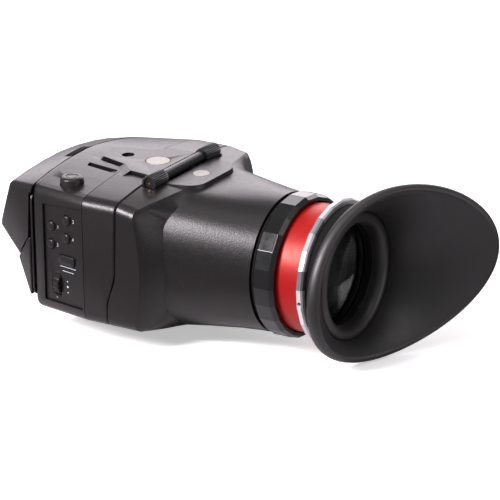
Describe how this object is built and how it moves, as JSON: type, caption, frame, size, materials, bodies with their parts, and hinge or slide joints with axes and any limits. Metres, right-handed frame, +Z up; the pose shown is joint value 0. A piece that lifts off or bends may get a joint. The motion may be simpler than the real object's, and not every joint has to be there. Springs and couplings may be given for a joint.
{
  "type": "electronic viewfinder",
  "caption": "Camera electronic viewfinder: flat screen housing with keys and jog wheel, hinged flip-up loupe hood, red focus tube and flared rubber eyecup.",
  "frame": {"origin": "on the mounting platform's flat top, between the striker disc and the tapped hole", "axes": "+Z up, out of the platform; +Y forward, away from the eye; +X to the operator's right"},
  "size_m": [0.0989, 0.204, 0.0764],
  "materials": {
    "case": "satin moulded",
    "inner": "matte",
    "key": "satin",
    "steel": "satin",
    "black_metal": "gloss black anodised",
    "red_metal": "red anodised",
    "bright_metal": "bright",
    "rubber": "matte",
    "glass": "polished",
    "screen": "polished",
    "board": "matte",
    "brass": "plated"
  },
  "bodies": {
    "housing": {"rear_shell": "case", "front_shell": "case", "neck_plate": "case", "front_cover": "case", "front_base": "case", "battery_contacts": "brass", "battery_pack": "inner", "mount_platform": "case", "thread_bush": "steel", "striker_disc": "steel", "power_board": "board", "key_panel": "case", "key_board": "board", "jog_switch": "inner", "connector_panel": "case", "coax_jack_1": "steel", "coax_jack_2": "steel", "video_socket_1": "steel", "video_socket_2": "steel", "phone_jack": "inner", "case_screw_1": "black_metal", "case_screw_2": "black_metal", "case_screw_3": "black_metal", "case_screw_4": "black_metal", "foot_pad": "rubber", "screen_window": "screen", "window_gasket": "rubber", "screen_panel": "screen", "screen_bracket": "steel", "heat_plate": "bright_metal", "main_board": "board", "ribbon_cable": "brass"},
    "hood": {"hood_shell": "case", "hood_magnet": "steel", "hinge_barrel_left": "case", "hinge_barrel_right": "case", "hinge_pin": "steel", "screen_mask": "inner", "ring_race": "steel"},
    "focus": {"focus_ring": "black_metal"},
    "lens": {"lens_tube": "red_metal", "field_lens": "glass", "eye_lens": "glass", "lens_spacer": "inner", "eye_lens_ring": "inner", "bright_ring": "bright_metal", "ring_set_screw": "black_metal", "eyecup_core": "black_metal"},
    "cup": {"eyecup": "rubber"},
    "function_1": {"function_key_1": "key"},
    "function_2": {"function_key_2": "key"},
    "function_3": {"function_key_3": "key"},
    "function_4": {"function_key_4": "key"},
    "menu": {"menu_key": "key"},
    "power": {"power_button": "key"},
    "jog_carrier": {"jog_yoke": "inner", "jog_axle": "steel"},
    "jog": {"jog_wheel": "key"},
    "latch": {"cover_latch": "key"}
  },
  "joints": [
    {"name": "hood_flip", "type": "hinge", "parent": "housing", "child": "hood", "pos_m": [0, -0.0207, -0.0006], "axis": [-1, 0, 0], "range_deg": [0, 180]},
    {"name": "focus_turn", "type": "hinge", "parent": "hood", "child": "focus", "pos_m": [0, -0.0809, -0.0346], "axis": [0, -1, 0], "range_deg": [-60, 60]},
    {"name": "lens_slide", "type": "slide", "parent": "hood", "child": "lens", "axis": [0, -1, 0], "range_m": [-0.0025, 0.0025]},
    {"name": "eyecup_swivel", "type": "hinge", "parent": "lens", "child": "cup", "pos_m": [0, -0.1053, -0.0346], "axis": [0, -1, 0], "range_deg": [-180, 180]},
    {"name": "function_press_1", "type": "slide", "parent": "housing", "child": "function_1", "axis": [0.9867, -0.1628, 0], "range_m": [0, 0.0006], "stiffness_N_per_m": 700, "springref_m": -0.0005},
    {"name": "function_press_2", "type": "slide", "parent": "housing", "child": "function_2", "axis": [0.9867, -0.1628, 0], "range_m": [0, 0.0006], "stiffness_N_per_m": 700, "springref_m": -0.0005},
    {"name": "function_press_3", "type": "slide", "parent": "housing", "child": "function_3", "axis": [0.9867, -0.1628, 0], "range_m": [0, 0.0006], "stiffness_N_per_m": 700, "springref_m": -0.0005},
    {"name": "function_press_4", "type": "slide", "parent": "housing", "child": "function_4", "axis": [0.9867, -0.1628, 0], "range_m": [0, 0.0006], "stiffness_N_per_m": 700, "springref_m": -0.0005},
    {"name": "menu_press", "type": "slide", "parent": "housing", "child": "menu", "axis": [0.9867, -0.1628, 0], "range_m": [0, 0.0006], "stiffness_N_per_m": 700, "springref_m": -0.0005},
    {"name": "power_press", "type": "slide", "parent": "housing", "child": "power", "axis": [0, 0, -1], "range_m": [0, 0.0006], "stiffness_N_per_m": 800, "springref_m": -0.0005},
    {"name": "jog_press", "type": "slide", "parent": "housing", "child": "jog_carrier", "axis": [0.9867, -0.1628, 0], "range_m": [0, 0.0005], "stiffness_N_per_m": 800, "springref_m": -0.0005},
    {"name": "jog_turn", "type": "hinge", "parent": "jog_carrier", "child": "jog", "pos_m": [-0.03944, 0.01601, -0.0483], "axis": [0.1628, 0.9867, 0], "range_deg": [-20, 20], "stiffness_Nm_per_rad": 0.01},
    {"name": "latch_slide", "type": "slide", "parent": "housing", "child": "latch", "axis": [0, 1, 0], "range_m": [0, 0.0015], "stiffness_N_per_m": 300, "springref_m": -0.001}
  ],
  "couplings": [
    {"joint": "lens_slide", "follows": "focus_turn", "m_per_rad": 0.00238}
  ]
}
